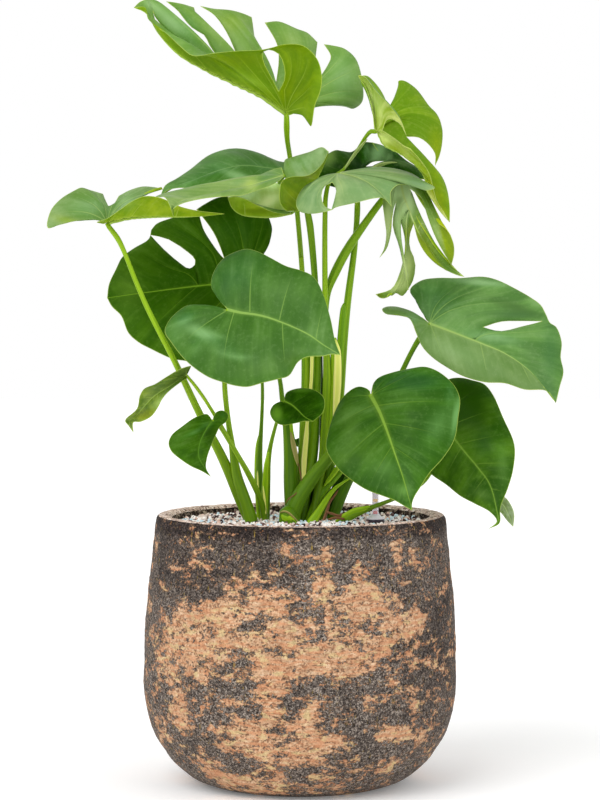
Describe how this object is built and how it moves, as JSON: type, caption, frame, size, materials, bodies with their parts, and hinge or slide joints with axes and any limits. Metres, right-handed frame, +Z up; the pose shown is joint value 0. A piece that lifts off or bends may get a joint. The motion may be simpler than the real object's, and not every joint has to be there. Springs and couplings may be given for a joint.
{
  "type": "potted swiss cheese plant",
  "caption": "Swiss cheese plant with split and holed leaves on long stalks, standing in mineral granulate in a round stoneware planter with a water level gauge.",
  "frame": {"origin": "centre of the planter's flat foot", "axes": "+Z up, +X to the viewer's right and +Y away from a viewer in front of the plant"},
  "size_m": [0.552, 0.34, 0.8533],
  "materials": {
    "leaf_light": "satin",
    "leaf_deep": "satin",
    "stem": "satin",
    "stoneware": "rough, pitted and blotched",
    "granulate": "rough",
    "gauge_dark": "satin",
    "gauge_cap": "glossy",
    "gauge_clear": "glossy",
    "gauge_float": "glossy"
  },
  "bodies": {
    "root": {"blade_top": "leaf_light", "blade_top_right": "leaf_light", "blade_far_left": "leaf_light", "blade_upper_back": "leaf_light", "blade_upper_left": "leaf_light", "blade_upper_low": "leaf_light", "blade_upper_middle": "leaf_light", "blade_upper_front": "leaf_light", "blade_upper_right_back": "leaf_light", "blade_drooping": "leaf_light", "blade_left_back": "leaf_deep", "blade_front": "leaf_deep", "blade_right": "leaf_deep", "blade_low_front": "leaf_deep", "blade_low_back": "leaf_deep", "blade_low_small": "leaf_deep", "blade_small_round": "leaf_deep", "blade_small_left": "leaf_deep", "blade_small_folded": "leaf_deep", "blade_tiny": "leaf_deep", "stems_left": "stem", "stems_small": "stem", "stems_centre": "stem", "stems_tall": "stem", "stems_right": "stem", "stems_low": "stem", "pot": "stoneware", "granulate": "granulate", "gauge_well": "gauge_dark", "gauge_cap": "gauge_cap", "gauge_tube": "gauge_clear", "gauge_float": "gauge_float"}
  },
  "joints": []
}
